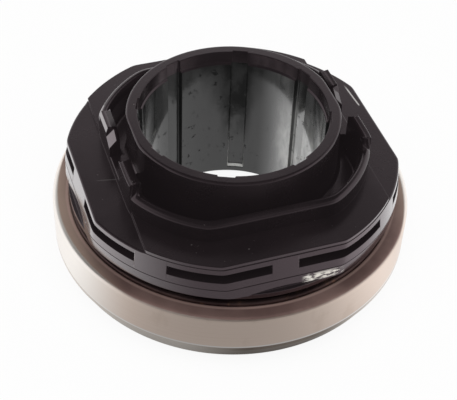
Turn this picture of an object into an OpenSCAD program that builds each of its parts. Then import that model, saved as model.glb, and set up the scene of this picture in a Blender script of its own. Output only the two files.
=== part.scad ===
// Clutch release bearing: a moulded guide sleeve that slides on the gearbox's guide tube and carries
// a self-centring ball bearing, whose outer ring bears on the clutch's diaphragm spring.
// The axis is Z, the contact face lies at z = 0 and the fork's arms reach along Y at both X sides.

/* [Guide sleeve] */
// Diameter of the bore that slides on the guide tube
bore_d = 34; // [28:0.5:42]
// Wall between the bore and the sleeve's outside
sleeve_wall = 2.6; // [2.4:0.1:4]
// Height of the sleeve's rim above the collar's ears
sleeve_rise = 2.6; // [2:0.1:8]
// Height of the sleeve's lower end above the contact face
sleeve_lift = 0.4; // [0.2:0.1:2]
// Number of grease grooves in the bore
groove_count = 8; // [4:1:10]
// Width of one grease groove
groove_w = 3.2; // [1:0.1:3.2]
// Depth of one grease groove
groove_depth = 0.8; // [0.4:0.1:1.4]
// Height of the closed stretch below each grease groove
groove_stop = 1.2; // [0.4:0.1:4]
// Length of the tapered lead-in at the bore's top
lead_in_h = 2.7; // [1:0.1:4]
// Radial widening of the lead-in
lead_in_r = 0.5; // [0.2:0.1:1]

/* [Fork flange] */
// Wall of the flange's rim at the top of a flat
rim_wall = 1.7; // [1.2:0.1:3]
// How far the round corners stand out past the flats
flange_corner = 2.1; // [1.4:0.1:3]
// How far the rim spreads from its top edge down to the seam
rim_draft = 0.6; // [0.1:0.1:1]
// Height of the fork pads above the seam
pad_h = 4.4; // [4.2:0.1:8]
// Height of the deck between the two fork pads above them
sector_step = 0.8; // [0.2:0.1:1.6]
// Bevel round the flange's top edge
flange_edge = 0.4; // [0.1:0.1:0.8]
// Height of a window in the rim
window_h = 1.75; // [1:0.05:2.2]
// Height of the windows above the seam
window_lift = 1.65; // [1:0.05:1.8]
// Width of the solid bridge at the middle of a flat below a fork pad
pad_bridge_w = 8.4; // [3:0.1:9]
// Width of the solid bridge at the middle of the other two flats
flat_bridge_w = 5; // [3:0.1:9]
// Width of the solid bridge at the middle of a corner
corner_bridge_w = 6.5; // [4:0.1:9]

/* [Collar] */
// Height of the collar above the fork pads
collar_h = 4.7; // [3:0.1:8]
// Wall of the collar
collar_wall = 2; // [1.4:0.1:3]
// How far the collar's round corners stand out past its flats
collar_corner = 2.7; // [2.2:0.1:3.4]
// Width of the channel between sleeve and collar at a flat
channel_w = 1.2; // [1:0.1:4]
// Bevel round the collar's top edge
collar_edge = 0.5; // [0.2:0.1:0.9]
// Height of the ears on the two flats beside the fork pads, above the collar
ear_h = 2.1; // [1:0.1:3]
// Distance from the middle of a flat to the front ear's far end
ear_front = 11.4; // [9:0.1:11.5]
// Distance from the middle of a flat to the back ear's far end
ear_back = 9.8; // [8:0.1:11.5]
// Width of the notch between the two ears of a flat
notch_w = 9.1; // [6:0.1:11]
// Depth of that notch below the collar's top
notch_depth = 2.8; // [1:0.1:3.4]
// Width of the web that joins sleeve and collar at a notch
web_w = 8; // [6:0.1:12]
// Length of the ramp that leads up to the back ear out of the notch
ramp_length = 2.2; // [1:0.1:3]
// Fall of that ramp along the collar
ramp_fall = 34; // [20:1:45]
// Fall of that ramp outward
ramp_slope = 48; // [35:1:60]

/* [Ball bearing] */
// Diameter of a ball
ball_d = 6.35; // [5.5:0.05:7]
// Number of balls
ball_count = 16; // [12:1:18]
// Clearance of a ball in its races
ball_gap = 0.05; // [0.02:0.01:0.1]
// Radial gap between the lands of the two rings
land_gap = 4.6; // [4.2:0.1:5]
// Wall of the inner ring
inner_wall = 3.6; // [3:0.1:5]
// Wall of the outer ring
outer_wall = 4.8; // [3.8:0.1:7]
// Thickness of the contact flange
contact_t = 3.2; // [2.4:0.1:5]
// How far the contact face stands below the ring's lower edge
contact_crown = 0.9; // [0.3:0.1:1.4]
// Width of the bevel below the ground band
bevel_w = 1.6; // [0.6:0.1:2.4]
// Height of that bevel
bevel_h = 3.2; // [1:0.1:4]
// Radius of the ring's upper outer edge
ring_edge = 0.9; // [0.3:0.1:1.2]
// Thickness of the upper seal
seal_t = 0.9; // [0.6:0.1:1.4]
// Height of the seal's rolled rim above the ring
seal_rim_h = 0.6; // [0.3:0.1:1]

/* [Self-centring seat] */
// Clearance that lets the bearing float sideways
float_clear = 0.8; // [0.75:0.05:1.2]
// Gap between sleeve and inner ring
sleeve_gap = 1.4; // [1.2:0.1:2.5]
// Overhang of the inner ring's flange
seat_overhang = 1.8; // [1.4:0.1:2.6]
// Thickness of the inner ring's flange
seat_t = 1.5; // [1:0.1:2.5]
// Thickness of the friction washer
washer_t = 0.7; // [0.4:0.1:1.2]
// Height of the wave spring as fitted
spring_h = 1.1; // [0.9:0.1:1.6]
// Thickness of the wave spring's strip
spring_t = 0.4; // [0.25:0.05:0.6]
// Number of waves in the spring
spring_waves = 6; // [3:1:8]

/* [Retainer ring] */
// Gap between the steel ring and the skirt
skirt_gap = 1.7; // [1.2:0.1:3]
// Height of the skirt
skirt_h = 3; // [2.8:0.1:5]
// Thickness of the round plate whose lip holds the inner ring's flange
lip_t = 1.2; // [0.8:0.1:1.5]
// How far that plate stays inside the skirt's corners
plate_inset = 0.8; // [0.2:0.1:1.2]
// Width of a snap hook along the rim
hook_w = 4; // [2:0.1:5]
// Thickness of a snap hook
hook_t = 1.3; // [0.8:0.1:1.4]

/* [Hidden] */
$fn = 96;
// Clearance between flat faces that slide on each other
slide_gap = 0.05;
// Clearance between a snap hook and its pocket
hook_gap = 0.15;
// Clearance of the wave spring in the hollow, and the fillet under the inner ring's flange beside it
spring_gap = 0.15;
// How far the friction washer stays inside the inner ring's flange
washer_inset = 0.3;
// Overlap that makes a cut pass clean through a face
cut = 1;
// Smallest bevel or overlap, where there is to be none
sliver = 0.001;
// Angle between the points of a rounded edge
round_step = 15;
// Floor between the seat and the channel
floor_t = 1.5;
// Flat width of the core that the windows open into
core_w = 2;
// Depth of the shallow flats on the sleeve beside the notches
sleeve_flat_depth = 0.4;
// Rounding of the sleeve's rim
rim_round = 0.4;
// Step from the bevel up to the ground band
band_step = 0.15;
// Bevel along the ears' top edge
ear_edge = 0.2;
// Share of the collar's wall that the ramp's outward fall takes
ramp_share = 0.7;
// Bevel round the skirt's lower edge
skirt_edge = 0.3;
// Bevel of the contact flange's bore
contact_edge = 0.6;
// Width of the seal's rolled rim
seal_rim_w = 1;
// Width of the seal's seat in the outer ring
seal_seat_w = 1.6;
// Gap between the seal's lip and the inner ring
seal_lip_gap = 0.25;
// Gap between the cage and the seal above it
seal_gap = 0.35;
// How far the seal lies below the ring's upper face
seal_sink = 0.25;
// Gap between the contact flange and the inner ring
inner_lift = 0.5;
// Gap between the contact flange and the balls
ball_lift = 0.6;
// Gap between the cage and the lands
cage_side = 0.7;
// Thickness of the cage's roof over a pocket
cage_roof = 0.6;
// Share of a ball's radius that the cage's prongs reach down past its middle
cage_reach = 0.55;
// How far a snap hook's nose stands out
hook_nose = 0.7;
// Distance of a snap hook from the bridge beside its window
hook_inset = 1;

// Radii, from the bore outward
bore_r = bore_d / 2;
sleeve_r = bore_r + sleeve_wall;
inner_bore_r = sleeve_r + sleeve_gap;
inner_land_r = inner_bore_r + inner_wall;
pitch_r = inner_land_r + land_gap / 2;
outer_land_r = inner_land_r + land_gap;
ring_r = outer_land_r + outer_wall;
contact_bore_r = inner_bore_r + slide_gap + float_clear;
seat_r = inner_land_r + seat_overhang;
lip_r = inner_land_r + float_clear;
cavity_r = seat_r + float_clear;
flange_flat = cavity_r + rim_wall;
flange_r = flange_flat + flange_corner;
skirt_flat = flange_flat + rim_draft;
skirt_r = flange_r + rim_draft;
plate_r = skirt_r - plate_inset;
collar_flat = sleeve_r + channel_w + collar_wall;
collar_r = collar_flat + collar_corner;

// Ball and race sizes
ball_r = ball_d / 2;
race_r = ball_r + ball_gap;
pocket_r = ball_r + 2 * ball_gap;
seal_seat_r = outer_land_r + seal_seat_w;

// Heights, from the contact face upward
inner_z = contact_t + inner_lift;
ball_z = contact_t + ball_lift + ball_r;
cage_top = ball_z + pocket_r + cage_roof;
seal_z = cage_top + seal_gap;
ring_h = seal_z + seal_t + seal_sink;
skirt_z = ring_h + skirt_gap;
lip_z = skirt_z + lip_t;
seat_z = lip_z + spring_h + 2 * slide_gap;
washer_z = seat_z + seat_t + slide_gap;
ceiling_z = washer_z + washer_t + slide_gap;
channel_z = ceiling_z + floor_t;
seam_z = skirt_z + skirt_h;
window_z = seam_z + window_lift;
window_top = window_z + window_h;
pad_z = seam_z + pad_h;
sector_z = pad_z + sector_step;
collar_z = pad_z + collar_h;
notch_z = collar_z - notch_depth;
ear_z = collar_z + ear_h;
sleeve_z = ear_z + sleeve_rise;

// Windows in the rim: each straddles the corner between a flat and a round stretch
bridge_angles = [asin(pad_bridge_w / 2 / flange_flat), asin(flat_bridge_w / 2 / flange_flat)];
corner_bridge_angle = asin(corner_bridge_w / 2 / flange_r);
window_sweeps = [for (angle = bridge_angles) 45 - corner_bridge_angle - angle];
window_list = [for (q = [0:3]) each [
    [90 * q + bridge_angles[q % 2], window_sweeps[q % 2]],
    [90 * q + 45 + corner_bridge_angle, window_sweeps[(q + 1) % 2]]
]];
// Each hook stands in a window's round stretch, beside the bridge
hook_angle = 2 * asin(hook_w / 2 / flange_r);
hook_margin = corner_bridge_angle + hook_angle / 2 + asin(hook_inset / flange_r);
hook_angles = [for (q = [0:3], s = [-1, 1]) 90 * q + 45 + s * hook_margin];
hook_r = cavity_r + hook_gap;
hook_gap_angle = asin(hook_gap / hook_r);

ball_names = [for (i = [1:ball_count]) str("ball_", i < 10 ? "0" : "", i)];

black_plastic = "#1d1a1b";
ground_steel = "#a89c94";
bearing_steel = "#b9bcc0";
brown_shield = "#6f5b50";
spring_steel = "#7d7f84";
pale_polymer = "#cdbf9c";

// A ring with the given inner and outer radius between two heights
module ring(inner, outer, low, high) {
    rotate_extrude()
        translate([inner, low])
            square([outer - inner, high - low]);
}

// A bar along Y, as wide as two flats at its top, whose sides spread downward and whose top is bevelled
module bevelled_bar(flat, reach, low, high, edge, draft) {
    rotate([90, 0, 0])
        linear_extrude(height = 2 * reach, center = true)
            polygon([
                [-flat - draft, low], [flat + draft, low], [flat, high - edge],
                [flat - edge, high], [edge - flat, high], [-flat, high - edge]
            ]);
}

// A disc with four flats, sides that spread downward and a bevelled top edge
module flatted_disc(round, flat, low, high, edge = sliver, draft = 0) {
    reach = round + draft + cut;
    intersection() {
        rotate_extrude()
            polygon([[0, low], [round + draft, low], [round, high - edge], [round - edge, high], [0, high]]);
        bevelled_bar(flat, reach, low, high, edge, draft);
        rotate([0, 0, 90])
            bevelled_bar(flat, reach, low, high, edge, draft);
    }
}

// Part of a ring, from a start angle through a sweep
module ring_sector(inner, outer, low, high, start, sweep) {
    rotate([0, 0, start])
        rotate_extrude(angle = sweep)
            translate([inner, low])
                square([outer - inner, high - low]);
}

// The flange with its deck, cut down to a straight fork pad beyond each X flat of the collar
module flange_body() {
    difference() {
        flatted_disc(flange_r, flange_flat, seam_z, sector_z, flange_edge, rim_draft);
        for (side = [0, 1])
            mirror([side, 0, 0])
                translate([collar_flat, -skirt_r, pad_z])
                    cube([skirt_r, 2 * skirt_r, sector_z]);
    }
}

// The hollow under the flange that the bearing's seat and the windows open into
module flange_hollow() {
    ring(0, cavity_r, seam_z - cut, ceiling_z);
    ring(cavity_r - core_w, cavity_r, seam_z, window_top);
}

module channel() {
    difference() {
        flatted_disc(collar_r - collar_wall, collar_flat - collar_wall, channel_z, ear_z + cut);
        translate([-collar_r, -web_w / 2, 0])
            cube([2 * collar_r, web_w, notch_z]);
    }
}

// The collar's outer shape, with a long ear on each X flat that the notch parts into two
module collar_body() {
    flatted_disc(collar_r, collar_flat, seam_z, collar_z, collar_edge);
    intersection() {
        bevelled_bar(collar_flat, collar_r, seam_z, ear_z, ear_edge, 0);
        cylinder(r = collar_r, h = ear_z);
        translate([-collar_r, -ear_front, 0])
            cube([2 * collar_r, ear_front + ear_back, ear_z]);
    }
}

// The space over a ramp, as a bar that falls toward -Y and outward from the back ear's inner edge
module ramp_space() {
    top = collar_flat - ramp_share * collar_wall;
    reach = collar_wall + cut;
    intersection() {
        translate([0, notch_w / 2 + reach, ear_z + reach * tan(ramp_fall)])
            rotate([90 + ramp_fall, 0, 0])
                linear_extrude(height = 4 * reach)
                    polygon([
                        [sleeve_r, 0], [top, 0], [top + reach, -reach * tan(ramp_slope)],
                        [top + reach, 2 * reach], [sleeve_r, 2 * reach]
                    ]);
        translate([0, notch_w / 2 - ramp_length - cut, 0])
            cube([collar_r, ramp_length + cut, sleeve_z]);
    }
}

// Notches through the collar's two X flats, each with a ramp at its +Y end
module notches() {
    for (side = [0, 1])
        mirror([side, 0, 0]) {
            translate([sleeve_r, -notch_w / 2, notch_z])
                cube([collar_r, notch_w - ramp_length, ear_z]);
            ramp_space();
        }
}

module sleeve_body() {
    rotate_extrude()
        polygon(concat(
            [[bore_r - cut, sleeve_lift], [sleeve_r - rim_round / 2, sleeve_lift],
             [sleeve_r, sleeve_lift + rim_round / 2]],
            [for (a = [0:round_step:90])
                [sleeve_r - rim_round * (1 - cos(a)), sleeve_z - rim_round * (1 - sin(a))]],
            [[bore_r - cut, sleeve_z]]
        ));
}

// Shallow flats on the sleeve, above the webs
module sleeve_flats() {
    for (side = [0, 1])
        mirror([side, 0, 0])
            translate([sleeve_r - sleeve_flat_depth, -sleeve_r, notch_z])
                cube([channel_w, 2 * sleeve_r, sleeve_z]);
}

// The guide bore with its tapered lead-in and grease grooves
module guide_bore() {
    translate([0, 0, -cut])
        cylinder(r = bore_r, h = sleeve_z + 2 * cut);
    translate([0, 0, sleeve_z - lead_in_h])
        cylinder(r1 = bore_r, r2 = bore_r + lead_in_r, h = lead_in_h + sliver);
    for (i = [0:groove_count - 1])
        rotate([0, 0, (i + 0.5) * 360 / groove_count])
            translate([0, -groove_w / 2, sleeve_lift + groove_stop])
                cube([bore_r + groove_depth, groove_w, sleeve_z]);
}

module windows() {
    for (w = window_list)
        ring_sector(cavity_r - core_w / 2, skirt_r + cut, window_z, window_top, w[0], w[1]);
}

module hook_pockets() {
    for (a = hook_angles)
        ring_sector(cavity_r - cut, hook_r + hook_t + hook_gap, seam_z - cut, window_z + window_h / 2,
            a - hook_angle / 2 - hook_gap_angle, hook_angle + 2 * hook_gap_angle);
}

module guide_sleeve() {
    color(black_plastic)
        difference() {
            union() {
                difference() {
                    union() {
                        flange_body();
                        collar_body();
                    }
                    flange_hollow();
                    channel();
                }
                sleeve_body();
            }
            notches();
            sleeve_flats();
            windows();
            hook_pockets();
            guide_bore();
        }
}

// One snap hook: a leg with a nose that catches over the window's lower edge
module hook() {
    nose_z = window_z + hook_gap;
    tip_z = window_top - hook_gap;
    rotate([0, 0, -hook_angle / 2])
        rotate_extrude(angle = hook_angle)
            polygon([
                [hook_r, seam_z - lip_t], [hook_r + hook_t, seam_z - lip_t], [hook_r + hook_t, nose_z],
                [hook_r + hook_t + hook_nose, nose_z], [hook_r + hook_t, tip_z], [hook_r, tip_z]
            ]);
}

// A round plate with a lip, a skirt with the flange's flats above it and hooks that snap into the windows
module retainer_ring() {
    color(black_plastic) {
        rotate_extrude()
            polygon([
                [lip_r, skirt_z], [plate_r - skirt_edge, skirt_z], [plate_r, skirt_z + skirt_edge],
                [plate_r, lip_z], [lip_r, lip_z]
            ]);
        difference() {
            flatted_disc(skirt_r, skirt_flat, lip_z - skirt_edge, seam_z);
            cylinder(r = cavity_r, h = sleeve_z);
        }
        for (a = hook_angles)
            rotate([0, 0, a])
                hook();
    }
}

module friction_washer() {
    color(pale_polymer)
        ring(inner_bore_r + washer_inset, seat_r - washer_inset, washer_z, washer_z + washer_t);
}

// A closed strip that rises and falls along the ring
module wave_spring() {
    steps = 16 * spring_waves;
    inner = lip_r + spring_gap;
    outer = cavity_r - spring_gap;
    rise = spring_h - spring_t;
    base = lip_z + slide_gap;
    points = [for (i = [0:steps - 1])
        let (a = 360 * i / steps, z = base + rise * (1 + sin(spring_waves * a)) / 2)
        each [for (c = [[inner, 0], [outer, 0], [outer, spring_t], [inner, spring_t]])
            [c[0] * cos(a), c[0] * sin(a), z + c[1]]]];
    faces = [for (i = [0:steps - 1], k = [0:3])
        let (j = (i + 1) % steps, m = (k + 1) % 4)
        [4 * i + k, 4 * i + m, 4 * j + m, 4 * j + k]];
    color(spring_steel)
        polyhedron(points, faces, convexity = 4);
}

// The groove that the balls run in, as a solid to cut away
module race_groove() {
    rotate_extrude()
        translate([pitch_r, ball_z])
            circle(r = race_r);
}

module inner_ring() {
    color(bearing_steel)
        difference() {
            rotate_extrude()
                polygon([
                    [inner_bore_r, inner_z], [inner_land_r, inner_z], [inner_land_r, seat_z - spring_gap],
                    [inner_land_r + spring_gap, seat_z], [seat_r, seat_z], [seat_r, seat_z + seat_t],
                    [inner_bore_r, seat_z + seat_t]
                ]);
            race_groove();
        }
}

module outer_ring() {
    bevel_r = ring_r - bevel_w;
    band_z = contact_crown + bevel_h;
    color(ground_steel)
        difference() {
            rotate_extrude()
                polygon(concat(
                    [[contact_bore_r + contact_edge, 0], [outer_land_r, 0], [bevel_r, contact_crown],
                     [ring_r - band_step, band_z - band_step], [ring_r, band_z]],
                    [for (a = [0:round_step:90])
                        [ring_r - ring_edge * (1 - cos(a)), ring_h - ring_edge * (1 - sin(a))]],
                    [[seal_seat_r, ring_h], [seal_seat_r, seal_z], [outer_land_r, seal_z],
                     [outer_land_r, contact_t], [contact_bore_r, contact_t], [contact_bore_r, contact_edge]]
                ));
            race_groove();
        }
}

// A pressed shield in the ring's counterbore, with a rolled rim that stands above the ring
module upper_seal() {
    inner = inner_land_r + seal_lip_gap;
    top = seal_z + seal_t;
    rim_top = ring_h + seal_rim_h;
    round = seal_rim_w / 2;
    color(brown_shield)
        rotate_extrude()
            polygon(concat(
                [[inner, seal_z], [seal_seat_r, seal_z]],
                [for (a = [0:round_step:180])
                    [seal_seat_r - round + round * cos(a), rim_top - round + round * sin(a)]],
                [[seal_seat_r - seal_rim_w, top], [inner, top]]
            ));
}

// A snap cage: a roof over the balls with prongs down between them
module ball_cage() {
    color(pale_polymer)
        difference() {
            ring(inner_land_r + cage_side, outer_land_r - cage_side, ball_z - cage_reach * ball_r, cage_top);
            for (i = [0:ball_count - 1])
                rotate([0, 90, 360 * i / ball_count])
                    translate([-ball_z, 0, inner_land_r])
                        cylinder(r = pocket_r, h = land_gap);
        }
}

module ball(i) {
    color(bearing_steel)
        rotate([0, 0, 360 * i / ball_count])
            translate([pitch_r, 0, ball_z])
                sphere(r = ball_r);
}

guide_sleeve();
retainer_ring();
friction_washer();
wave_spring();
inner_ring();
outer_ring();
upper_seal();
ball_cage();
for (i = [0:ball_count - 1])
    ball(i);
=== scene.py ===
# %% [markdown]
# # A clutch release bearing
# The part is a moulded guide sleeve, black and glossy, that carries a steel ball bearing. The sleeve
# slides on the gearbox, a fork pushes its flange, and the bearing's outer ring meets the clutch.
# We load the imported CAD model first: it fixes every size, and each piece made here stays inside it.

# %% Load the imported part
import math

import bmesh
import bpy
import numpy as np
from mathutils import Matrix, Vector


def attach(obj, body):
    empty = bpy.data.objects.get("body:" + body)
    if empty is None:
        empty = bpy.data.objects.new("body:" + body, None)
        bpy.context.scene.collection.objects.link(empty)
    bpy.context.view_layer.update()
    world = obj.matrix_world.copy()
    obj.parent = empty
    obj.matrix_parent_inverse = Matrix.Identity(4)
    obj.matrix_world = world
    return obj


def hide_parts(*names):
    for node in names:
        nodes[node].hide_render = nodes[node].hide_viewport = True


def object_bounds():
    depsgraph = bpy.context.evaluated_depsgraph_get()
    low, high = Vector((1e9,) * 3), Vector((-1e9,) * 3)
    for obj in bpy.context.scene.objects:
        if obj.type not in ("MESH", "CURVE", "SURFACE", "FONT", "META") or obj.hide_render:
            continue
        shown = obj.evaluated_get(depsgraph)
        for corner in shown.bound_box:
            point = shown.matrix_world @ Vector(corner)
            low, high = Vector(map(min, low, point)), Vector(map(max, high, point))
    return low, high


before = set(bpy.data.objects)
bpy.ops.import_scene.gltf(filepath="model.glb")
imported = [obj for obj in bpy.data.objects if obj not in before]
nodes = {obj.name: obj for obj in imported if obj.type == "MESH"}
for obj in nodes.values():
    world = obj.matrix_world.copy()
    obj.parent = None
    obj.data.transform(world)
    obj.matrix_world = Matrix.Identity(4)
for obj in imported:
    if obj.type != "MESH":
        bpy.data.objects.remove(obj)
cad_low, cad_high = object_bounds()
MM = 0.001
print("CAD box, mm:", [round(v / MM, 2) for v in (*cad_low, *cad_high)])

# %% [markdown]
# ## The camera
# A photograph fixes where the camera stood: the ellipses of the rings give its height, and the way
# the near side looks larger gives its distance. A lens is set by its focal length in pixels, and the
# small roll is the tilt of the hand that held the camera.

# %% Camera
IMAGE_WIDTH = 457
FOCAL_PIXELS = 1168.9
SENSOR_WIDTH = 36
CLIP_NEAR = 0.01
EYE = Vector((-56.03, -153.94, 166.25)) * MM
AIM = Vector((-0.28, 0.10, 8.20)) * MM
ROLL = math.radians(2.35)

look = (AIM - EYE).normalized()
level = look.cross(Vector((0, 0, 1))).normalized()
up = level.cross(look)
camera_x = level * math.cos(ROLL) + up * math.sin(ROLL)
camera_y = up * math.cos(ROLL) - level * math.sin(ROLL)
camera_data = bpy.data.cameras.new("photo_camera")
camera_data.sensor_fit = "HORIZONTAL"
camera_data.sensor_width = SENSOR_WIDTH
camera_data.lens = FOCAL_PIXELS / IMAGE_WIDTH * SENSOR_WIDTH
camera_data.clip_start = CLIP_NEAR
camera = bpy.data.objects.new("photo_camera", camera_data)
camera_turn = Matrix((camera_x, camera_y, -look)).transposed().to_4x4()
camera.matrix_world = Matrix.Translation(EYE) @ camera_turn
bpy.context.scene.collection.objects.link(camera)
bpy.context.scene.camera = camera
print(f"camera {(EYE - AIM).length:.3f} m away, lens {camera_data.lens:.1f} mm")

# %% [markdown]
# ## A loft round an axis
# Nearly everything here is a ring, so one tool can make it all. We draw a closed outline in radius and
# height, soften its corners, and carry it round the axis. Where the outline stays the same the result
# is a turned piece; where it changes with the angle we get flats, notches and windows. A boolean cut
# could do the same, but it leaves razor edges, and real edges are what catch the light.

# %% Helpers that soften an outline and loft it
ARC = 5
ROOM_SHARE = 0.48
LEAST_LENGTH = 1e-9


def soften(corners, radii):
    """Turns each corner of closed outlines, shaped (angles, corners, 2), into a short curve."""
    corners = np.asarray(corners, float)
    to_last = np.roll(corners, 1, axis=1) - corners
    to_next = np.roll(corners, -1, axis=1) - corners
    last_length = np.linalg.norm(to_last, axis=2, keepdims=True)
    next_length = np.linalg.norm(to_next, axis=2, keepdims=True)
    room = ROOM_SHARE * np.minimum(last_length, next_length)
    radii = np.broadcast_to(np.asarray(radii, float), corners.shape[:2])
    reach = np.minimum(radii[..., None], room)
    start = corners + to_last / np.maximum(last_length, LEAST_LENGTH) * reach
    end = corners + to_next / np.maximum(next_length, LEAST_LENGTH) * reach
    t = np.linspace(0, 1, ARC).reshape(1, 1, -1, 1)
    start, middle, end = start[:, :, None], corners[:, :, None], end[:, :, None]
    curve = (1 - t) ** 2 * start + 2 * t * (1 - t) * middle + t ** 2 * end
    return curve.reshape(corners.shape[0], -1, 2)


def loft(angles, outlines):
    """Points and faces of closed outlines in mm, one for each angle in radians, joined into a ring."""
    rows, columns = outlines.shape[:2]
    r, z = outlines[..., 0], outlines[..., 1]
    turn = angles[:, None]
    points = np.stack([r * np.cos(turn), r * np.sin(turn), z], axis=-1).reshape(-1, 3) * MM
    i, j = np.meshgrid(np.arange(rows), np.arange(columns), indexing="ij")
    k, m = (i + 1) % rows, (j + 1) % columns
    faces = np.stack([i * columns + j, i * columns + m, k * columns + m, k * columns + j], axis=-1)
    return points, faces.reshape(-1, 4)


# %% Helpers that make the piece
WELD = 2e-6
LEAST_NORMAL = 1e-30


def set_normals(mesh):
    """Gives each point the normal of its largest faces, so that flat faces stay flat up to their edges."""
    count = len(mesh.polygons)
    normal, area, corners = np.empty(3 * count), np.empty(count), np.empty(count, int)
    mesh.polygons.foreach_get("normal", normal)
    mesh.polygons.foreach_get("area", area)
    mesh.polygons.foreach_get("loop_total", corners)
    point = np.empty(len(mesh.loops), int)
    mesh.loops.foreach_get("vertex_index", point)
    weighted = normal.reshape(-1, 3) * (area ** 2)[:, None]
    summed = np.zeros((len(mesh.vertices), 3))
    np.add.at(summed, point, np.repeat(weighted, corners, axis=0))
    length = np.linalg.norm(summed, axis=1, keepdims=True)
    mesh.normals_split_custom_set_from_vertices(summed / np.maximum(length, LEAST_NORMAL))


def piece(name, parts, material_slot, body, *nodes):
    """One object from lofts, welded and shaded smooth, that rides on a body in place of its CAD nodes."""
    points = np.concatenate([p for p, f in parts])
    starts = np.cumsum([0] + [len(p) for p, f in parts])
    faces = np.concatenate([f + s for (p, f), s in zip(parts, starts)])
    mesh = bpy.data.meshes.new(name)
    mesh.from_pydata(points.tolist(), [], faces.tolist())
    shape = bmesh.new()
    shape.from_mesh(mesh)
    bmesh.ops.remove_doubles(shape, verts=shape.verts, dist=WELD)
    bmesh.ops.recalc_face_normals(shape, faces=shape.faces)
    shape.to_mesh(mesh)
    shape.free()
    mesh.shade_smooth()
    set_normals(mesh)
    obj = bpy.data.objects.new(name, mesh)
    bpy.context.scene.collection.objects.link(obj)
    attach(obj, body)
    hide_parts(*nodes)
    print(f"{name}: {len(mesh.vertices)} points, {len(mesh.polygons)} faces, rides on {body}")
    return obj


# %% [markdown]
# ## The guide sleeve
# This is the moulding that takes the most skill: a tube, a flange in two levels with flats and
# windows, and a notched collar between them. We keep it as one loft. For every angle we ask how far
# out and how high each corner of the section lies there. Masks that rise from 0 to 1 over a small
# angle switch the notches, webs, windows and grease grooves on, so that each has a small true radius.

# %% Sizes of the moulding, in mm
BORE, SLEEVE, SLEEVE_FLAT, SLEEVE_LOW, SLEEVE_TOP = 17.0, 19.6, 19.2, 0.4, cad_high.z / MM
LEAD_IN, LEAD_IN_Z, LEAD_IN_STEP, LEAD_IN_TAPER = 17.5, 28.15, 0.3, 0.15
GROOVE_FLAT, GROOVE_LOW, RUN_OUT = 17.8, 1.6, 0.3
FLANGE, FLANGE_FLAT, DRAFT, RIM_TOP = 31.0, 28.9, 0.6, 21.85
CAVITY, CORE, CEILING = 27.2, 25.2, 18.75
SEAM, WINDOW_LOW, WINDOW_TOP = 17.05, 18.7, 20.45
PAD, DECK, STEP_IN = 21.45, 22.25, 0.25
COLLAR, COLLAR_FLAT, COLLAR_WALL, COLLAR_TOP = 25.5, 22.8, 2.0, 26.15
EAR_TOP, EAR_FRONT, EAR_BACK = 28.25, -11.4, 9.8
NOTCH_FRONT, RAMP_FOOT, RAMP_HEAD, NOTCH_Z = -4.55, 2.35, 4.55, 23.35
RAMP_IN, CHANNEL_Z, WEB_HALF = 21.4, 20.25, 4.0

# %% Angles and slopes of the moulding
GROOVES, GROOVE_HALF = 8, 5.25
PAD_BRIDGE, FLAT_BRIDGE, CORNER_BRIDGE = 8.36, 4.96, 6.02
RAMP_FALL, RAMP_SLOPE, FLAT_DRAFT = 0.675, 1.34, 1.45

quarters = [90 * q for q in range(4)]
groove_turns = [360 / GROOVES * (g + 0.5) for g in range(GROOVES)]
windows = []
for q in quarters:
    here, there = (PAD_BRIDGE, FLAT_BRIDGE) if q % 180 == 0 else (FLAT_BRIDGE, PAD_BRIDGE)
    windows += [(q + here, q + 45 - CORNER_BRIDGE), (q + 45 + CORNER_BRIDGE, q + 90 - there)]
print(f"{len(groove_turns)} grooves, {len(windows)} windows")

# %% Angles to sample, closer together where something starts or ends
SOFT, GROOVE_SOFT, GROOVE_NEAR, PLAIN_STEP = 0.22, 0.7, 0.55, 0.75
NEAR = np.array([-2, -1, -0.6, -0.25, 0, 0.25, 0.6, 1, 2]) * SOFT


def side_angles(y, *distances):
    """The angles at which a line across both X sides at this y meets some distances from the axis."""
    turns = [math.degrees(math.atan2(y, d)) for d in distances]
    return [a for t in turns for a in (t, 180 - t)]


def corner_angle(flat, round_r):
    """The angle from the middle of a flat to the corner where the round stretch begins."""
    return math.degrees(math.acos(flat / round_r))


channel_flat, channel_round = COLLAR_FLAT - COLLAR_WALL, COLLAR - COLLAR_WALL
edges = [e for w in windows for e in w]
for y in (EAR_FRONT, NOTCH_FRONT, RAMP_FOOT, RAMP_HEAD, EAR_BACK, WEB_HALF, -WEB_HALF):
    edges += side_angles(y, SLEEVE_FLAT, channel_flat, COLLAR_FLAT)
for flat, round_r in ((FLANGE_FLAT, FLANGE), (FLANGE_FLAT + DRAFT, FLANGE + DRAFT),
                      (COLLAR_FLAT, COLLAR), (channel_flat, channel_round)):
    edges += [q + s * corner_angle(flat, round_r) for q in quarters for s in (1, -1)]
for c in (corner_angle(SLEEVE_FLAT, SLEEVE), corner_angle(COLLAR_FLAT, FLANGE)):
    edges += [c, -c, 180 - c, 180 + c]
for middle in groove_turns:
    edges += [middle + s * GROOVE_HALF + e for s in (1, -1) for e in (-GROOVE_NEAR, 0, GROOVE_NEAR)]
angles = np.concatenate([np.arange(0, 360, PLAIN_STEP)] + [e + NEAR for e in edges]) % 360
angles = np.unique(np.round(angles, 3))
turn = np.radians(angles)
print(f"the moulding has {len(angles)} sections")

# %% Masks round the axis
SOFT_MM = 0.08
LEAST_COSINE = 1e-6


def rise(x):
    """A soft switch: 0 below -1, 1 above 1."""
    t = np.clip((x + 1) / 2, 0, 1)
    return t * t * (3 - 2 * t)


def inside(middle, half, soft=SOFT):
    """1 within half degrees of a direction, 0 outside."""
    away = np.abs((angles - middle + 180) % 360 - 180)
    return rise((half - away) / soft)


across_x, across_y = np.abs(np.cos(turn)), np.abs(np.sin(turn))
four_flats = np.maximum(across_x, across_y)
at_x_side = across_x > across_y


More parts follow.
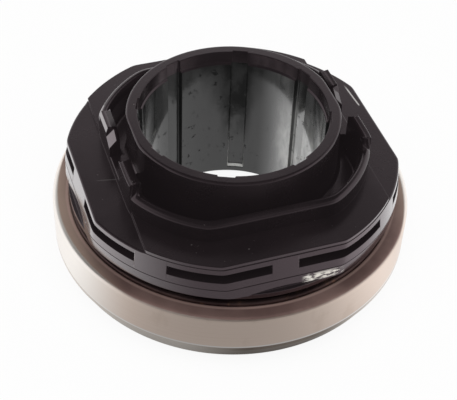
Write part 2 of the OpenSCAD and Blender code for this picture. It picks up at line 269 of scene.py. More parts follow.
def along(radius, low, high):
    """1 where a corner at this radius has its y between low and high, at both X sides."""
    y = radius * np.sin(turn)
    return rise((y - low) / SOFT_MM) * rise((high - y) / SOFT_MM) * at_x_side


def flatted(round_r, flat, cosine, sharp):
    """The radius of a disc with flats, where cosine is largest at the middle of a flat; corners are round."""
    gap = flat / np.maximum(cosine, LEAST_COSINE) - round_r
    return round_r - np.logaddexp(0, -sharp * gap) / sharp


groove = sum(inside(middle, GROOVE_HALF, GROOVE_SOFT) for middle in groove_turns)
window = sum(inside((start + end) / 2, (end - start) / 2) for start, end in windows)
print(f"at {groove.mean():.0%} of the sections there is a groove, at {window.mean():.0%} a window")

# %% How far out each wall of the moulding stands
RIM_SHARP, COLLAR_SHARP = 9, 3


def rim(z):
    """The rim's radius at a height: the mould's draft spreads it from its top edge down to the seam."""
    spread = DRAFT * (RIM_TOP - z) / (RIM_TOP - SEAM)
    return flatted(FLANGE + spread, FLANGE_FLAT + spread * FLAT_DRAFT, four_flats, RIM_SHARP)


def window_wall(z):
    """The rim's radius at a height, sunk to the cavity inside the windows."""
    return rim(z) + (CAVITY - rim(z)) * window


collar = flatted(COLLAR, COLLAR_FLAT, four_flats, COLLAR_SHARP)
channel_out = flatted(channel_round, channel_flat, four_flats, COLLAR_SHARP)
sleeve = flatted(SLEEVE, SLEEVE_FLAT, across_x, RIM_SHARP)
groove_turn = np.radians(angles % (360 / GROOVES) - 180 / GROOVES)
bore = BORE + (GROOVE_FLAT / np.cos(groove_turn) - BORE) * groove
lead_in_low, lead_in = np.maximum(bore, LEAD_IN - LEAD_IN_TAPER), np.maximum(bore, LEAD_IN)
pad_step = np.clip((COLLAR_FLAT - STEP_IN) / np.maximum(across_x, LEAST_COSINE), collar, rim(DECK))
print(f"rim from {rim(PAD).min():.2f} to {rim(SEAM).max():.2f} mm")

# %% How high the collar and the channel's floor stand
COLLAR_EDGE, EAR_EDGE, THIN_EDGE, BACK_FALL = 0.6, 0.35, 0.14, 0.8
INNER_EDGE, INNER_FALL, TOP_ROUND, EAR_ROUND = 0.7, 1.3, 0.58, 0.08
SIDE_COSINE = 0.5


def wall_top(radius, outer_drop):
    """How high the collar stands at this radius: ears, notch and the ramp that falls toward -Y."""
    y = radius * np.sin(turn)
    top = COLLAR_TOP + (EAR_TOP - COLLAR_TOP) * along(radius, EAR_FRONT, EAR_BACK)
    ramp_z = EAR_TOP - (RAMP_HEAD - y) * RAMP_FALL - outer_drop * RAMP_SLOPE
    top = top + (ramp_z - top) * along(radius, RAMP_FOOT, RAMP_HEAD)
    return top + (NOTCH_Z - top) * along(radius, NOTCH_FRONT, RAMP_FOOT)


def channel_floor(radius):
    """How high the channel's floor lies at this radius: a web bridges it at each X side."""
    return CHANNEL_Z + (NOTCH_Z - CHANNEL_Z) * along(radius, -WEB_HALF, WEB_HALF)


ear = along(collar, EAR_FRONT, EAR_BACK)
on_ramp = along(collar, RAMP_FOOT, RAMP_HEAD)
no_ear = 1 - along(channel_out, EAR_FRONT, EAR_BACK)
edge = COLLAR_EDGE + (EAR_EDGE - COLLAR_EDGE) * ear
edge = edge + (THIN_EDGE - EAR_EDGE) * along(collar, EAR_FRONT, RAMP_FOOT)
edge_r = collar - edge + (RAMP_IN / np.maximum(across_x, SIDE_COSINE) - collar + edge) * on_ramp
round_top = EAR_ROUND + (TOP_ROUND - EAR_ROUND) * (1 - ear)
inner_top, edge_top = wall_top(channel_out, 0), wall_top(edge_r, 0)
outer_top = wall_top(collar, COLLAR_FLAT - RAMP_IN) - edge * (1 - on_ramp)
outer_top = outer_top - BACK_FALL * along(collar, RAMP_HEAD, EAR_BACK)
print(f"collar from {edge_top.min():.2f} to {edge_top.max():.2f} mm high")

# %% The moulding's section: radius, height and rounding of each corner
SHARP, CRISP, FINE, SMALL, MILD = 0, 0.1, 0.15, 0.2, 0.4
FOOT_ROUND, MOUTH_ROUND, CHANNEL_FILLET, INNER_ROUND = 0.3, 0.5, 0.8, 0.6
DECK_ROUND, STEP_ROUND = 0.02, 0.12


def section_loft(section):
    """Points and faces of a ring whose section's corners may lie elsewhere at every angle."""
    every = np.ones_like(turn)
    corners = np.stack([np.stack([r * every, z * every], axis=-1) for r, z, soft in section], axis=1)
    softness = np.stack([soft * every for r, z, soft in section], axis=1)
    return loft(turn, soften(corners, softness))


window_roof = (window_wall(WINDOW_TOP), WINDOW_TOP, SHARP)
cavity_sill = (CAVITY, WINDOW_LOW, SHARP)
section = [
    (BORE, SLEEVE_LOW, FOOT_ROUND), (BORE, GROOVE_LOW, SMALL), (bore, GROOVE_LOW + RUN_OUT, MILD),
    (bore, LEAD_IN_Z, CRISP), (lead_in_low, LEAD_IN_Z + LEAD_IN_STEP, CRISP),
    (lead_in, SLEEVE_TOP, FINE), (sleeve, SLEEVE_TOP, MOUTH_ROUND),
    (sleeve, channel_floor(sleeve), CHANNEL_FILLET),
    (channel_out, channel_floor(channel_out), CHANNEL_FILLET),
    (channel_out, inner_top - INNER_FALL * no_ear, INNER_ROUND),
    (channel_out + INNER_EDGE * no_ear, inner_top, round_top), (edge_r, edge_top, round_top),
    (collar, outer_top, round_top), (collar, DECK, DECK_ROUND),
    (pad_step, DECK, STEP_ROUND), (pad_step, PAD, CRISP), (rim(PAD), PAD, MILD),
    (rim(WINDOW_TOP), WINDOW_TOP, CRISP), window_roof, (window_wall(WINDOW_LOW), WINDOW_LOW, SHARP),
    (rim(WINDOW_LOW), WINDOW_LOW, CRISP), (rim(SEAM), SEAM, FINE), (CAVITY, SEAM, SMALL),
    cavity_sill, (CAVITY, WINDOW_TOP, SHARP), (CORE, WINDOW_TOP, SMALL), (CORE, CEILING, SMALL),
    (SLEEVE, CEILING, SMALL), (SLEEVE, SLEEVE_LOW, SMALL),
]
points, faces = section_loft(section)
print(f"{len(section)} corners in each section")

# %% Open the windows: drop the two skins that would close them
OPEN = 0.999
faces = faces.reshape(len(angles), -1, 4)
keep = np.ones(faces.shape[:2], bool)
opened = (window > OPEN) & (np.roll(window, -1) > OPEN)
for skin in (window_roof, cavity_sill):
    corner = [c is skin for c in section].index(True)
    keep[opened, ARC * corner + ARC - 1] = False
moulding = piece("guide_sleeve_moulding", [(points, faces[keep])], "black_plastic", "housing", "guide_sleeve")

# %% [markdown]
# ## The retainer ring
# A second black moulding snaps into the flange from below and holds the bearing. A skirt with the same
# four flats stands on a round plate, so that a dark ledge shows below each flat. Eight hooks stand up
# inside the windows. The skirt is one more loft. A hook is a short loft that is not closed into a
# ring, so we give it two end caps by shrinking its outline there.

# %% Skirt of the retainer ring
SKIRT_Z, LIP, LIP_Z, PLATE, PLATE_ROUND = 14.05, 25.4, 15.25, 30.8, 0.35
OVERHANG, LEDGE_SOFT, SKIRT_SPREAD, FOOT_SHARP, SEAM_GAP = 0.3, 0.06, 0.35, 5, 0.02

skirt_r, skirt_top = rim(SEAM), SEAM - SEAM_GAP
skirt_foot = flatted(FLANGE + DRAFT, skirt_r + SKIRT_SPREAD, 1, FOOT_SHARP)
ledge = LIP_Z - OVERHANG * rise((skirt_foot - PLATE) / LEDGE_SOFT)
skirt = section_loft([
    (LIP, SKIRT_Z, SMALL), (PLATE, SKIRT_Z, PLATE_ROUND), (PLATE, ledge, CRISP),
    (skirt_foot, ledge, STEP_ROUND), (skirt_r, skirt_top, STEP_ROUND),
    (CAVITY, skirt_top, FINE), (CAVITY, LIP_Z, SMALL), (LIP, LIP_Z, SMALL),
])
print(f"skirt from {skirt_r.min():.2f} to {skirt_foot.max():.2f} mm")

# %% Hooks of the retainer ring
HOOK, HOOK_OUT, HOOK_NOSE, HOOK_DEPTH, HOOK_GAP, NECK_ROUND = 27.35, 28.65, 29.35, 1, 0.15, 0.05
HOOK_HALF, HOOK_TURN = 3.7, 11.57
CAP_SHARE, CAP_INSET = 0.9, 0.96


def hook(middle):
    """One snap hook: a leg through the seam with a sloped nose."""
    root, sill, top = SEAM - HOOK_DEPTH, WINDOW_LOW + HOOK_GAP, WINDOW_TOP - HOOK_GAP
    outline = soften(
        [[(HOOK, root), (HOOK_OUT, root), (HOOK_OUT, sill), (HOOK_NOSE, sill), (HOOK_OUT, top), (HOOK, top)]],
        [CRISP, CRISP, NECK_ROUND, CRISP, CRISP, CRISP])[0]
    heart = outline.mean(axis=0)
    inset = CAP_INSET * HOOK_HALF
    spans = [(-HOOK_HALF, 0), (-HOOK_HALF, CAP_SHARE), (-inset, 1),
             (inset, 1), (HOOK_HALF, CAP_SHARE), (HOOK_HALF, 0)]
    rows = np.stack([heart + (outline - heart) * share for a, share in spans])
    points, faces = loft(np.radians([middle + a for a, share in spans]), rows)
    return points, faces[:-len(outline)]


hooks = [hook(q + 45 + s * HOOK_TURN) for q in quarters for s in (1, -1)]
retainer = piece("retainer_skirt", [skirt] + hooks, "black_plastic", "housing", "retainer_ring")

# %% [markdown]
# ## The turned steel rings
# The bearing's outer ring is turned, hardened and then ground on the outside, which leaves the bright
# satin band. The inner ring stands still in the moulding. The raceways are grooves with a little more
# than the balls' radius. The shield is pressed from thin sheet and rolled over at its rim. A Screw
# modifier could spin the outlines, but the loft also rounds their corners, so we use it again.

# %% Helpers for turned rings
FULL_TURN = np.radians(np.arange(0, 360, 1.0))
PITCH, BALL_Z, RACE, LAND, INNER_LAND = 26.9, 6.975, 3.225, 29.2, 24.6
RACE_HALF, RACE_POINTS = math.acos((LAND - PITCH) / RACE), 9


def turned(section):
    """A loft of one section, given as (radius, height, rounding), that stays the same all the way round."""
    outline = soften([[(r, z) for r, z, soft in section]], [soft for r, z, soft in section])
    return loft(FULL_TURN, np.repeat(outline, len(FULL_TURN), axis=0))


def raceway(side):
    """Corners of the groove that the balls run in: side 1 cuts outward, -1 inward, from the top down."""
    return [(PITCH + side * RACE * math.cos(a), BALL_Z + RACE * math.sin(a), FINE)
            for a in np.linspace(RACE_HALF, -RACE_HALF, RACE_POINTS)]


# %% Outer ring
RING, RING_TOP, BAND_LOW, BAND_STEP, SEAL_SEAT, SEAL_Z = 34.0, 12.35, 4.1, 0.15, 30.8, 11.2
CONTACT_BORE, CONTACT_T, CROWN, CROWN_Z = 21.85, 3.2, 32.4, 0.9
BORE_ROUND, CONTACT_ROUND, CROWN_ROUND = 0.6, 1.2, 0.5
STEP_EDGE, BAND_ROUND, TOP_CORNER = 0.08, 0.12, 0.95

outer_ring = piece("outer_ring_ground", [turned([
    (CONTACT_BORE, 0, BORE_ROUND), (LAND, 0, CONTACT_ROUND), (CROWN, CROWN_Z, CROWN_ROUND),
    (RING - BAND_STEP, BAND_LOW - BAND_STEP, STEP_EDGE), (RING, BAND_LOW, BAND_ROUND),
    (RING, RING_TOP, TOP_CORNER), (SEAL_SEAT, RING_TOP, SMALL),
    (SEAL_SEAT, SEAL_Z, CRISP), (LAND, SEAL_Z, SMALL),
    *raceway(1), (LAND, CONTACT_T, CRISP), (CONTACT_BORE, CONTACT_T, SMALL),
])], "ground_steel", "rotor", "outer_ring")

# %% Shield
SEAL_LIP, SEAL_TOP, SHIELD_TOP, CURL, CURL_ROUND, CURL_FILLET = 24.85, 12.1, 12.95, 1, 0.5, 0.35

shield = piece("pressed_shield", [turned([
    (SEAL_LIP, SEAL_Z, CRISP), (SEAL_SEAT, SEAL_Z, CRISP), (SEAL_SEAT, SHIELD_TOP, CURL_ROUND),
    (SEAL_SEAT - CURL, SHIELD_TOP, CURL_ROUND), (SEAL_SEAT - CURL, SEAL_TOP, CURL_FILLET),
    (SEAL_LIP, SEAL_TOP, CRISP),
])], "brown_shield", "rotor", "upper_seal")

# %% Inner ring
INNER_BORE, INNER_Z, SEAT, SEAT_Z, SEAT_TOP = 21.0, 3.7, 26.4, 16.45, 17.95
RACE_ROUND, SEAT_ROUND = 0.3, 0.25

inner_ring = piece("inner_ring_turned", [turned([
    (INNER_BORE, INNER_Z, RACE_ROUND), (INNER_LAND, INNER_Z, RACE_ROUND), *raceway(-1)[::-1],
    (INNER_LAND, SEAT_Z, FINE), (SEAT, SEAT_Z, SEAT_ROUND), (SEAT, SEAT_TOP, SEAT_ROUND),
    (INNER_BORE, SEAT_TOP, RACE_ROUND),
])], "bearing_steel", "race", "inner_ring")

# %% [markdown]
# ## Shader maths as plain expressions
# A procedural finish is arithmetic on noise. Writing it as node links is long, so a small class wraps
# one socket: adding or multiplying two of them adds the Math node that does it. A second class holds a
# material and the places on the piece, in mm, that its patterns are drawn from.

# %% The socket wrapper


class Wire:
    """One output of a shader tree, so that sums on it read as sums."""

    def __init__(self, tree, socket=None):
        self.tree, self.socket = tree, socket

    def add_node(self, kind, settings=None, inputs=None, output=0):
        """Any node: its settings are set first, then the values or links of its sockets."""
        node = self.tree.nodes.new(kind)
        for name, value in (settings or {}).items():
            setattr(node, name, value)
        for name, value in (inputs or {}).items():
            if isinstance(value, Wire):
                self.tree.links.new(value.socket, node.inputs[name])
            else:
                node.inputs[name].default_value = value
        return Wire(self.tree, node.outputs[output] if node.outputs else None)

    def out(self, name):
        """Another output of the same node."""
        return Wire(self.tree, self.socket.node.outputs[name])

    def math(self, operation, *values):
        return self.add_node("ShaderNodeMath", {"operation": operation}, dict(enumerate(values)))

    def __add__(self, other):
        return self.math("ADD", self, other)

    def __radd__(self, other):
        return self.math("ADD", other, self)

    def __sub__(self, other):
        return self.math("SUBTRACT", self, other)

    def __rsub__(self, other):
        return self.math("SUBTRACT", other, self)

    def __mul__(self, other):
        return self.math("MULTIPLY", self, other)

    def __rmul__(self, other):
        return self.math("MULTIPLY", other, self)

    def __abs__(self):
        return self.math("ABSOLUTE", self)

    def larger(self, other):
        return self.math("MAXIMUM", self, other)

    def between(self, low, high):
        """0 below low, 1 above high, smooth between them."""
        return self.add_node("ShaderNodeMapRange", {"interpolation_type": "SMOOTHSTEP"},
                             {"Value": self, "From Min": low, "From Max": high})

    def band(self, start, full, fade, end):
        """0 below start, 1 from full to fade, 0 above end."""
        return self.between(start, full) * (1 - self.between(fade, end))

    def mix(self, first, second):
        """A colour that goes from first to second as this value goes from 0 to 1."""
        colours = {"data_type": "RGBA"}
        return self.add_node("ShaderNodeMix", colours, {0: self, 6: first, 7: second}, output=2)


# %% Helpers for a finish on a ring


class Finish:
    """A Principled material with the places on the piece, in mm, that its patterns are drawn from."""

    def __init__(self, name):
        self.material = bpy.data.materials.new(name)
        self.material.use_nodes = True
        self.tree = self.material.node_tree
        self.shader = self.tree.nodes["Principled BSDF"]
        self.place = Wire(self.tree).add_node("ShaderNodeTexCoord", output="Object")
        apart = self.place.add_node("ShaderNodeSeparateXYZ", inputs={0: self.place})
        self.x, self.y, self.z = (apart.out(axis) * (1 / MM) for axis in "XYZ")
        squared = self.x * self.x + self.y * self.y
        self.radius = squared.math("SQRT", squared)

    def noise(self, scale, detail=3.0, stretch=(1, 1, 1), roughness=0.55):
        """Noise whose lumps are about 1/scale metres, stretched along the axes."""
        where = self.place.add_node("ShaderNodeVectorMath", {"operation": "MULTIPLY"},
                                    {0: self.place, 1: stretch})
        return where.add_node("ShaderNodeTexNoise", {}, {
            "Vector": where, "Scale": scale, "Detail": detail, "Roughness": roughness})

    def ring_noise(self, round_scale, across_scale, detail):
        """Noise in long streaks round the axis: slow along the turn, fast in height and radius."""
        across = self.place.add_node("ShaderNodeCombineXYZ", inputs={
            "X": self.x * round_scale, "Y": self.y * round_scale,
            "Z": (self.z + self.radius) * across_scale})
        return across.add_node("ShaderNodeTexNoise", {}, {
            "Vector": across, "Scale": 1.0, "Detail": detail})

    def bump(self, height, strength, depth):
        """A normal that follows a height of this depth in mm."""
        return height.add_node("ShaderNodeBump", {}, {
            "Strength": strength, "Distance": depth * MM, "Height": height})

    def plug(self, **sockets):
        """Sets or links the shader's own sockets, written with _ for a space."""
        for name, value in sockets.items():
            socket = self.shader.inputs[name.replace("_", " ")]
            if isinstance(value, Wire):
                self.tree.links.new(value.socket, socket)
            else:
                socket.default_value = value

    def cover(self, share, colour):
        """Lays a matte skin over the finish where share is 1."""
        output = self.tree.nodes["Material Output"]
        skin = share.add_node("ShaderNodeBsdfDiffuse", inputs={"Color": colour})
        glossy = Wire(self.tree, self.shader.outputs[0])
        both = share.add_node("ShaderNodeMixShader", inputs={0: share, 1: glossy, 2: skin})
        self.tree.links.new(both.socket, output.inputs["Surface"])

    def paint(self, *objs):
        for obj in objs:
            obj.data.materials.clear()
            obj.data.materials.append(self.material)
        print(f"{self.material.name}: {len(self.tree.nodes)} nodes on {len(objs)} piece(s)")


def grey(value, warm=1.0, cool=1.0):
    return (value * warm, value, value * cool, 1)


# %% [markdown]
# ## Black plastic
# Glass-filled nylon comes out of the mould glossy and nearly black, with a brown-purple cast. Handling
# leaves a dull film in patches and a few specks of dust. The film changes the roughness rather than the
# colour, which is why a black part looks alive only where something bright is reflected in it. White
# surroundings also veil a lens with stray light, and a very faint glow of the plastic stands in for it.
# A painted highlight on the right pad and a faint pale line on the left one are thin bands round a line.

# %% Black plastic
PURPLE, VEIL = (1.0, 0.78, 0.86, 1), 0.006
PAD_SKIN = (21.2, 21.3)
HIGHLIGHT_X, HIGHLIGHT_LEAN, HIGHLIGHT_EDGE, HIGHLIGHT_ENDS = 28.28, 0.066, (0.05, 0.22), (5.0, 5.6, 10.0, 12.2)
FAINT_LINE_Y, FAINT_LINE_LEAN, FAINT_LINE_EDGE, FAINT_LINE_SHARE = -6.33, 0.193, (0.05, 0.2), 0.07
FAINT_LINE_ENDS = (-27.0, -25.0, -22.9, -22.7)

plastic = Finish("black_plastic_moulded")
film = plastic.noise(70, 4).between(0.38, 0.68)
grain = plastic.noise(2600, 2)
dust = plastic.noise(1500, 1).between(0.75, 0.78) * plastic.noise(150, 2).between(0.5, 0.62)
on_pad = plastic.z.between(*PAD_SKIN)
off_pad_highlight = plastic.x + plastic.y * HIGHLIGHT_LEAN - HIGHLIGHT_X
# painted highlight: a thin pale line along the right pad
pad_highlight = (1 - abs(off_pad_highlight).between(*HIGHLIGHT_EDGE)) * on_pad * plastic.y.band(*HIGHLIGHT_ENDS)
off_faint_line = plastic.y + plastic.x * FAINT_LINE_LEAN - FAINT_LINE_Y
# a faint pale line across the left pad
faint_line = (1 - abs(off_faint_line).between(*FAINT_LINE_EDGE)) * on_pad * plastic.x.band(*FAINT_LINE_ENDS)
body_colour = film.mix((0.0040, 0.0030, 0.0034, 1), (0.0065, 0.0047, 0.0053, 1))
body_colour = (dust * 0.4).mix(body_colour, grey(0.13, 1.05, 0.97))
# the painted highlight and the faint pale line lighten the colour
body_colour = (pad_highlight + faint_line * FAINT_LINE_SHARE).mix(body_colour, grey(0.5, 1.02, 0.97))
plastic.plug(
    Base_Color=body_colour, IOR=1.55, Roughness=0.2 + film * 0.09 + dust * 0.3,
    Specular_Tint=PURPLE, Emission_Color=PURPLE, Emission_Strength=VEIL,
    Normal=plastic.bump(grain + film * 0.4, 0.05, 0.2))
plastic.paint(moulding, retainer)

# %% [markdown]
# ## The burnished bore
# The guide tube has rubbed the bore to a dark mirror. Grease dulls it: a smeared film all over, specks
# on the lands and a thick dark streak in the groove at the back. The grooves' side walls are darker.
# The two sides look wetter than the back, so they get a second clear coat. Low down on the two sides,
# along the back groove's lower edges and where the grooves end, a painted reflection makes the colour pale.
# All of it could be painted on the mesh, but masks by place keep the edges sharp at any distance.

# %% Bore
BACK_X, BACK_Y, GROOVE_WALL = (2.6, 5.0, 7.6, 9.6), (9, 11), (17.05, 17.2, 17.62, 17.75)
STREAK_Z, WET_X, PALE_X, PALE_Z, LOW_EDGE_Z = (6, 17), (10, 14.5), (12, 15), (14, 26), (4, 13)
END_R, END_Z, END_SHARE = (17.03, 17.1), (2.0, 2.3), 0.04

burnished = Finish("burnished_bore")
smear = burnished.noise(240, 4, stretch=(1, 1, 0.4)).between(0.4, 0.66)
specks = burnished.noise(800, 4).between(0.6, 0.66) * burnished.noise(110, 2).between(0.42, 0.6)
lumps = burnished.noise(420, 4, stretch=(1, 1, 0.6)).between(0.36, 0.62)
at_back = burnished.x.band(*BACK_X) * burnished.y.between(*BACK_Y)
groove_wall = burnished.radius.band(*GROOVE_WALL)
streak = at_back * burnished.z.between(*STREAK_Z) * (0.25 + lumps * 0.75)
# the grooves' side walls, apart from the back groove, are darker as well
dull = streak.larger(specks).larger(groove_wall * (1 - at_back))
off_middle = abs(burnished.x)
# painted reflection: pale low on the two sides, along the back groove's lower edges and where the grooves end
painted_reflection = off_middle.between(*PALE_X) * (1 - burnished.z.between(*PALE_Z)) * (0.4 + smear * 0.6)
low_edge = groove_wall * at_back * (1 - burnished.z.between(*LOW_EDGE_Z))
groove_end = burnished.radius.between(*END_R) * (1 - burnished.z.between(*END_Z))
painted_reflection = painted_reflection.larger(low_edge).larger(groove_end * END_SHARE)
burnished.plug(
    Base_Color=painted_reflection.mix(smear.mix(grey(0.007), grey(0.013)), grey(0.75, 1.0, 0.97)), IOR=1.6,
    Roughness=0.09 + smear * 0.1,
    Coat_Weight=off_middle.between(*WET_X), Coat_IOR=2.0, Coat_Roughness=0.07,
    # the faint glow is painted light, standing in for stray light in the lens
    Emission_Color=grey(1.0), Emission_Strength=VEIL,
    Normal=burnished.bump(smear + dull * 0.6, 0.06, 0.2))
burnished.cover(dull * 0.7, grey(0.012))
print(f"{burnished.material.name}: {len(burnished.tree.nodes)} nodes")

# %% [markdown]
# ## The polished rim
# The mould is polished where the rim and the skirt slide out of it, so these faces are a smooth black
# gloss: dark from straight on, nearly white at a glancing angle. A patch low on the front flat is pale
# and rougher. The bore's lead-in and the slopes of the back ear on the left have the same gloss. A mask
# could switch the finishes, but material slots, chosen face by face, are easier to follow.

# %% Rim
RIM_SIDES = (14, 26)
PATCH_X, PATCH_Z, PATCH_Y = (2.8, 4.0, 10.2, 11.4), (15.1, 15.4, 16.3, 17.1), (-28, -27)

gloss = Finish("black_plastic_rim")
rim_film = gloss.noise(90, 3).between(0.4, 0.66)
# a pale, rougher patch low on the front flat
pale_patch = gloss.x.band(*PATCH_X) * gloss.z.band(*PATCH_Z) * (1 - gloss.y.between(*PATCH_Y))
pale_patch = pale_patch * gloss.noise(1500, 5, stretch=(0.5, 1, 1.5)).between(0.38, 0.6)
rim_colour = rim_film.mix((0.0055, 0.0041, 0.0046, 1), (0.0085, 0.0062, 0.0070, 1))
gloss.plug(
    Base_Color=pale_patch.mix(rim_colour, (0.8, 0.78, 0.7, 1)), IOR=2.1,
    Roughness=0.12 + rim_film * 0.05 + pale_patch * 0.5,
    Coat_Weight=abs(gloss.x).between(*RIM_SIDES), Coat_IOR=2.2, Coat_Roughness=0.06,
    # the faint glow is painted light, standing in for stray light in the lens
    Specular_Tint=PURPLE, Emission_Color=PURPLE, Emission_Strength=VEIL,
    Normal=gloss.bump(gloss.noise(1200, 2), 0.03, 0.1))

# %% Give each face of the two mouldings its finish
PLAIN, POLISHED, BURNISHED = range(3)
RIM_IN, RIM_LOW, RIM_HIGH, UPRIGHT = 28.2, 13.9, 22.1, 0.5
EAR_IN, EAR_LEVEL, EAR_STEEP, EAR_FACING = 21, 0.9, 0.25, 0.4
BORE_OUT, GROOVE_END_LOW, GROOVE_END_HIGH = 18.6, 1, 2.2


def finish_of(face):
    """Which of the three finishes a face has, by its place in mm and the way it faces."""
    x, y, z = face.center / MM
    radius, stands = math.hypot(x, y), abs(face.normal.z) < UPRIGHT
    if radius < BORE_OUT and (stands or GROOVE_END_LOW < z < GROOVE_END_HIGH):
        return POLISHED if z > LEAD_IN_Z else BURNISHED
    on_rim = radius > RIM_IN and RIM_LOW < z < RIM_HIGH and stands
    on_ear = z > NOTCH_Z and x < -EAR_IN and y > NOTCH_FRONT
    sloped = EAR_STEEP < face.normal.z < EAR_LEVEL and abs(face.normal.x) > EAR_FACING
    return POLISHED if on_rim or (on_ear and sloped) else PLAIN


for obj in (moulding, retainer):
    obj.data.materials.append(gloss.material)
    obj.data.materials.append(burnished.material)
    counts = [0, 0, 0]
    for face in obj.data.polygons:
        face.material_index = finish_of(face)
        counts[face.material_index] += 1
    print(f"{obj.name}: faces plain, polished and burnished {counts}")

# %% [markdown]
# ## Ground steel
# Grinding runs round the ring, so its marks are long streaks round the axis and fine across it. The
# ground band is bright, and a painted highlight gives it a brighter line at its lower edge. The top keeps
# the brown of the heat treatment and the oil, with a painted highlight along its inner edge; the lower
# bevel is darkened with painted shade. Height and radius tell these zones apart. At the two sides every
# zone is painted paler, to suit the bright surroundings of this picture.
# That is light rather than colour, and it turns with the ring, so leave it out under other light.

# %% Zones of the ring, in mm
RING_SIDES, SIDE_SPREAD = (25, 33), 0.75
TOP_Z, TOP_OUT, TOP_INNER_HIGHLIGHT = (11.2, 11.35), (33.55, 34.0), (30.95, 31.15, 31.3, 31.7)
BAND_Z, LINE_FADE = (4.8, 4.9), (5.1, 5.3)
FRONT_X, BEVEL_SIDES = -1, (5, 19)

steel = Finish("ground_steel_ring")
ring_side = abs(steel.x).between(*RING_SIDES)
beyond_top = (steel.radius + ring_side * SIDE_SPREAD).between(*TOP_OUT)
on_top = steel.z.between(*TOP_Z) * (1 - beyond_top)
on_band = steel.z.between(*BAND_Z) * (1 - on_top)
band_line_highlight = steel.z.band(*BAND_Z, *LINE_FADE)
top_inner_highlight = steel.radius.band(*TOP_INNER_HIGHLIGHT)
bevel_side = abs(steel.x - FRONT_X).between(*BEVEL_SIDES)

# %% Ground steel
streaks = steel.ring_noise(0.03, 9, 3)
cloud = steel.noise(90, 4).between(0.35, 0.7)
stain = steel.noise(160, 4, stretch=(1, 1, 0.6)).between(0.56, 0.7)
band_colour = streaks.mix((0.84, 0.68, 0.58, 1), (0.95, 0.81, 0.72, 1))
band_colour = (stain * 0.2).mix(band_colour, (0.60, 0.46, 0.36, 1))
band_colour = ring_side.mix(band_colour, (1.0, 0.95, 0.90, 1))
# painted highlight: a brighter line at the band's lower edge
band_colour = band_line_highlight.mix(band_colour, (1.0, 0.96, 0.93, 1))
top_colour = cloud.mix((0.22, 0.138, 0.124, 1), (0.34, 0.225, 0.20, 1))
top_colour = (ring_side * 0.8).mix(top_colour, (0.50, 0.37, 0.30, 1))
# painted highlight along the top's inner edge
top_colour = (top_inner_highlight * 0.8).mix(top_colour, (0.62, 0.43, 0.38, 1))
# painted shade: the lower bevel is coloured dark, as if it mirrored the floor's shadow beside the ring
bevel_colour = cloud.mix((0.22, 0.18, 0.15, 1), (0.34, 0.29, 0.25, 1))
bevel_colour = bevel_side.mix(bevel_colour, (0.80, 0.74, 0.68, 1))
steel.plug(
    Base_Color=on_top.mix(on_band.mix(bevel_colour, band_colour), top_colour),
    Metallic=1 - on_top * 0.35, Roughness=0.3 + streaks * 0.12 + (1 - on_band) * 0.08,
    Normal=steel.bump(streaks, 0.12, 0.06))
steel.paint(outer_ring)

# %% [markdown]
# ## The pressed shield, the bearing steel and the hidden pieces
# The shield is phosphated sheet, brown and slightly orange where the coat is thin. Races and balls are
# polished. The spring is oiled strip steel, and the cage and the friction washer are pale nylon. One
# plain colour each would do for what is hidden, but a little haze keeps the metal from looking new.

# %% Shield's finish
brown = Finish("phosphated_shield")
coat = brown.noise(140, 4).between(0.35, 0.68)
thin = brown.noise(320, 3).between(0.6, 0.72)
coat_colour = coat.mix((0.055, 0.034, 0.034, 1), (0.11, 0.07, 0.066, 1))
brown.plug(
    Base_Color=(thin * 0.4).mix(coat_colour, (0.34, 0.19, 0.11, 1)), Metallic=0.85,
    Roughness=0.36 + coat * 0.14, Normal=brown.bump(brown.noise(1800, 2), 0.08, 0.1))
brown.paint(shield)

# %% Bearing steel, spring steel and pale nylon
balls = [nodes[n] for n in sorted(nodes) if n.startswith("ball_") and n != "ball_cage"]
polished = Finish("polished_bearing_steel")
haze = polished.noise(300, 3).between(0.4, 0.65)
polished.plug(Base_Color=haze.mix(grey(0.55, 0.99, 1.02), grey(0.66, 0.99, 1.02)), Metallic=1.0,
              Roughness=0.12 + haze * 0.1)
polished.paint(inner_ring, *balls)

spring = Finish("oiled_spring_steel")
oil = spring.noise(400, 3).between(0.4, 0.65)
spring.plug(Base_Color=oil.mix(grey(0.2, 1, 1.06), grey(0.3, 1, 1.04)), Metallic=1.0,
            Roughness=0.25 + oil * 0.15)
spring.paint(nodes["wave_spring"])

nylon = Finish("pale_nylon")
tone = nylon.noise(500, 3).between(0.35, 0.7)
nylon.plug(Base_Color=tone.mix((0.55, 0.46, 0.30, 1), (0.66, 0.57, 0.40, 1)),
           Roughness=0.42 + tone * 0.12)
nylon.paint(nodes["ball_cage"], nodes["friction_washer"])

# %% [markdown]
# ## Floor, light and surroundings
# Catalogue pictures stand a part on a white sweep: white floor, white wall low down all round, and a
# dark room above. Black plastic shows little but that: its level faces mirror the dark ceiling, its
# upright faces mirror the floor. On the camera's side the floor that a mirror sees lies in the camera's
# shade, so the front of the part is darker than its two sides. The broad lamp adds soft light from the
# front, and we keep it out of mirrors, where it would show as a disc.

# %% Floor
SPREAD, SINK = 2.0, 0.02 * MM
WHITE_SHARE, FRONT_SHADE, FRONT = 0.9, 0.72, (0.3, 1.05)
toward = Vector((EYE.x, EYE.y, 0)).normalized()

floor_mesh = bpy.data.meshes.new("floor")
floor_mesh.from_pydata(
    [(-SPREAD, -SPREAD, 0), (SPREAD, -SPREAD, 0), (SPREAD, SPREAD, 0), (-SPREAD, SPREAD, 0)],
    [], [(0, 1, 2, 3)])
floor = bpy.data.objects.new("floor", floor_mesh)
floor.location.z = -SINK
bpy.context.scene.collection.objects.link(floor)
print(f"floor {2 * SPREAD} m wide")

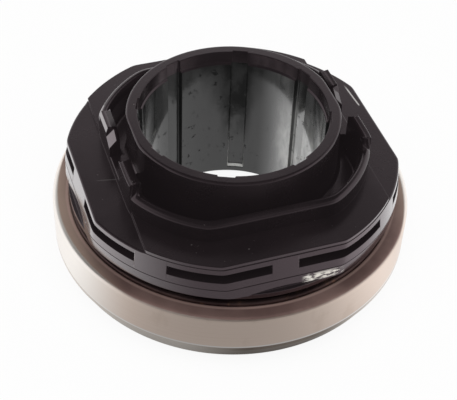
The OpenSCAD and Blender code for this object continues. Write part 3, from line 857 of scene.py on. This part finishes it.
# %% White paper on the floor
sweep = bpy.data.materials.new("white_sweep")
sweep.use_nodes = True
sweep.node_tree.nodes.clear()
paper = Wire(sweep.node_tree)
spot = paper.add_node("ShaderNodeNewGeometry", output="Position")
outward = paper.add_node("ShaderNodeVectorMath", {"operation": "NORMALIZE"}, {0: spot})
facing = paper.add_node("ShaderNodeVectorMath", {"operation": "DOT_PRODUCT"},
                        {0: outward, 1: toward}, output="Value")
seen = paper.add_node("ShaderNodeLightPath", output="Is Camera Ray")
mirrored = seen.out("Is Glossy Ray")
shown = seen.larger(mirrored).larger(seen.out("Is Transmission Ray"))
matte = paper.add_node("ShaderNodeBsdfDiffuse", inputs={"Color": grey(0.9)})
white = paper.add_node("ShaderNodeEmission", inputs={"Color": grey(1.0)})
shaded = paper.add_node("ShaderNodeEmission", inputs={"Color": grey(1.0), "Strength": 1 - FRONT_SHADE})
in_shade = mirrored * facing.between(*FRONT)
glow = paper.add_node("ShaderNodeMixShader", inputs={0: in_shade, 1: white, 2: shaded})
both = paper.add_node("ShaderNodeMixShader", inputs={0: shown * WHITE_SHARE, 1: matte, 2: glow})
paper.add_node("ShaderNodeOutputMaterial", inputs={"Surface": both})
floor_mesh.materials.append(sweep)
print(f"{sweep.name}: {len(sweep.node_tree.nodes)} nodes")

# %% World
CAMERA_SIDE, CAMERA_SHADE, WALL_TOP, DARKEST = (0.1, 0.8), 0.85, (0.5, 0.78), 0.05

world = bpy.data.worlds.new("white_room")
bpy.context.scene.world = world
world.use_nodes = True
world.node_tree.nodes.clear()
room = Wire(world.node_tree)
direction = room.add_node("ShaderNodeTexCoord", output="Generated")
east = room.add_node("ShaderNodeSeparateXYZ", inputs={0: direction})
camera_side = (east * toward.x + east.out("Y") * toward.y).between(*CAMERA_SIDE)
wall = 1 - east.out("Z").between(*WALL_TOP)
room_light = wall * (1 - camera_side * CAMERA_SHADE) * (1 - DARKEST) + DARKEST
seen = room.add_node("ShaderNodeLightPath", output="Is Camera Ray")
dark = room.add_node("ShaderNodeBackground", inputs={"Color": grey(1.0), "Strength": 0.0})
white = room.add_node("ShaderNodeBackground", inputs={"Color": grey(1.0), "Strength": 1.0})
lit = room.add_node("ShaderNodeMixShader", inputs={0: room_light.larger(seen), 1: dark, 2: white})
room.add_node("ShaderNodeOutputWorld", inputs={"Surface": lit})
print(f"{world.name}: {len(world.node_tree.nodes)} nodes")

# %% Lamp
LAMP_WIDTH, LAMP_POWER, LAMP_REACH, LAMP_HEIGHT = 1.2, 7.0, 0.3, 0.7

lamp_data = bpy.data.lights.new("broad_lamp", "AREA")
lamp_data.shape = "DISK"
lamp_data.size = LAMP_WIDTH
lamp_data.energy = LAMP_POWER
lamp = bpy.data.objects.new("broad_lamp", lamp_data)
lamp.location = toward * LAMP_REACH + Vector((0, 0, LAMP_HEIGHT))
lamp.rotation_euler = (-lamp.location).to_track_quat("-Z", "Y").to_euler()
lamp.visible_glossy = False
bpy.context.scene.collection.objects.link(lamp)
print(f"lamp {lamp_data.energy} W, {lamp.location.length:.2f} m away")

# %% [markdown]
# ## The view
# The picture uses the plain Standard view, so a colour renders as it is written.

# %% The view
bpy.context.scene.view_settings.view_transform = "Standard"
